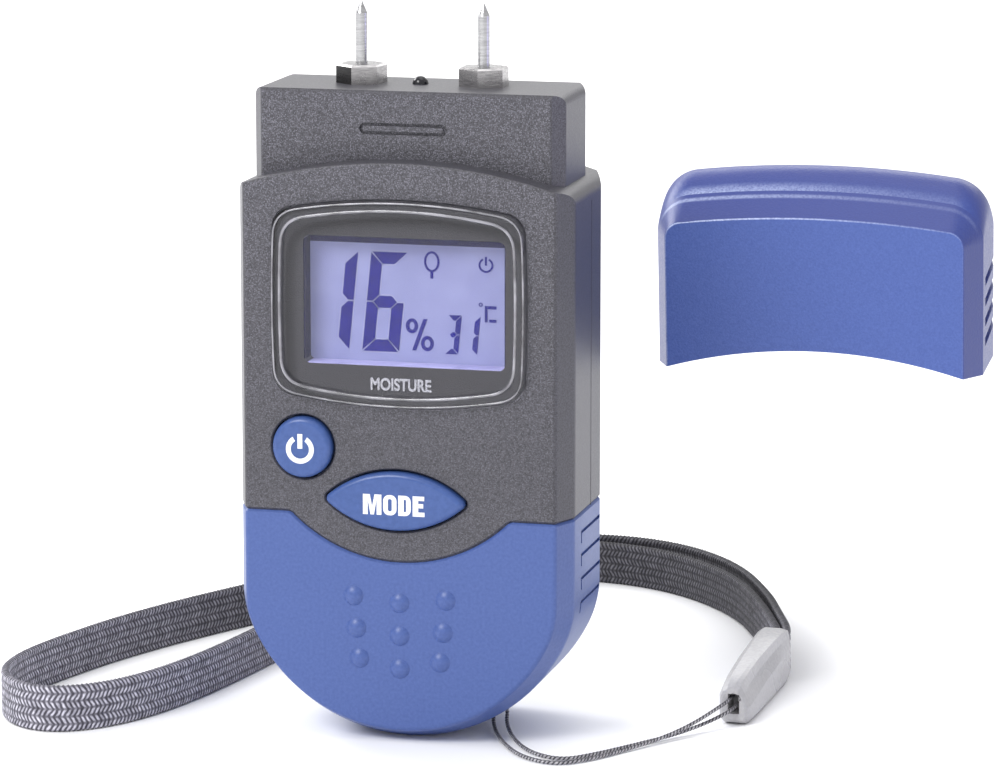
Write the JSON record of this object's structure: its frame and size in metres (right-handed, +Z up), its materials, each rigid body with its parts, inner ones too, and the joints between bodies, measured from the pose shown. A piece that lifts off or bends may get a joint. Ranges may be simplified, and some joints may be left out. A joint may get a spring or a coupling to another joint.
{
  "type": "moisture meter",
  "caption": "Pocket pin moisture meter with two steel electrodes, backlit display, two buttons, rounded blue boot, wrist strap, and its blue cap lifted off beside it.",
  "frame": {"origin": "lowest point of the rounded boot, in the middle of the body's width and depth, where a hand or stand holds the upright meter", "axes": "+Z up towards the electrode pins, +Y out of the flat back, -Y out of the display, +X to the display's right"},
  "size_m": [0.1313, 0.1149, 0.1005],
  "materials": {
    "dark_shell": "fine-textured charcoal ABS",
    "blue_boot": "satin blue moulding",
    "blue_cap": "satin blue moulding",
    "blue_button": "satin blue with white printing",
    "clear_lens": "clear acrylic, polished",
    "lcd_frame": "dark light-tight frame",
    "lcd_glass": "backlit liquid-crystal panel",
    "backlight": "diffusing light guide",
    "contact_rubber": "striped conductive elastomer",
    "board": "green solder mask",
    "chip": "black epoxy drop",
    "switch": "black moulded tact switch",
    "pin_steel": "ground steel needle",
    "collar_nickel": "nickel-plated hexagon",
    "socket_brass": "turned brass insert",
    "contact_metal": "plated spring strip",
    "sensor": "black glossy bead",
    "tray": "black moulded holder",
    "cell_steel": "stainless can",
    "screw_steel": "zinc-plated",
    "band_fabric": "flat charcoal braid",
    "bead_plastic": "silver-grey moulding",
    "cord_fabric": "thin round braid"
  },
  "bodies": {
    "root": {"front_shell": "dark_shell", "rear_shell": "dark_shell", "boot": "blue_boot", "display_lens": "clear_lens", "lcd_frame": "lcd_frame", "lcd_glass": "lcd_glass", "backlight": "backlight", "contact_strip": "contact_rubber", "main_board": "board", "controller_chip": "chip", "power_switch": "switch", "mode_switch": "switch", "electrode_pin_left": "pin_steel", "electrode_pin_right": "pin_steel", "hex_collar_left": "collar_nickel", "hex_collar_right": "collar_nickel", "electrode_socket_left": "socket_brass", "electrode_socket_right": "socket_brass", "electrode_contact_left": "contact_metal", "electrode_contact_right": "contact_metal", "battery_contact_positive": "contact_metal", "battery_contact_negative": "contact_metal", "temperature_sensor": "sensor", "battery_tray": "tray", "coin_cell": "cell_steel", "case_screws": "screw_steel", "board_screws": "screw_steel", "wrist_band": "band_fabric", "strap_bead": "bead_plastic", "lanyard_cord_a": "cord_fabric", "lanyard_cord_b": "cord_fabric"},
    "power_button": {"power_button": "blue_button"},
    "mode_button": {"mode_button": "blue_button"},
    "battery_cover": {"battery_cover": "dark_shell"},
    "cap": {"cap": "blue_cap"}
  },
  "joints": [
    {"name": "power_press", "type": "slide", "parent": "root", "child": "power_button", "axis": [0, 1, 0], "range_m": [0, 0.0006], "stiffness_N_per_m": 2500},
    {"name": "mode_press", "type": "slide", "parent": "root", "child": "mode_button", "axis": [0, 1, 0], "range_m": [0, 0.0006], "stiffness_N_per_m": 2500},
    {"name": "cover_hinge", "type": "hinge", "parent": "root", "child": "battery_cover", "pos_m": [0, 0.012, 0.0342], "axis": [-1, 0, 0], "range_deg": [0, 75]},
    {"name": "cap_lift", "type": "slide", "parent": "root", "child": "cap", "axis": [0, -0.1045, 0.9945], "range_m": [0, 0.05]}
  ]
}
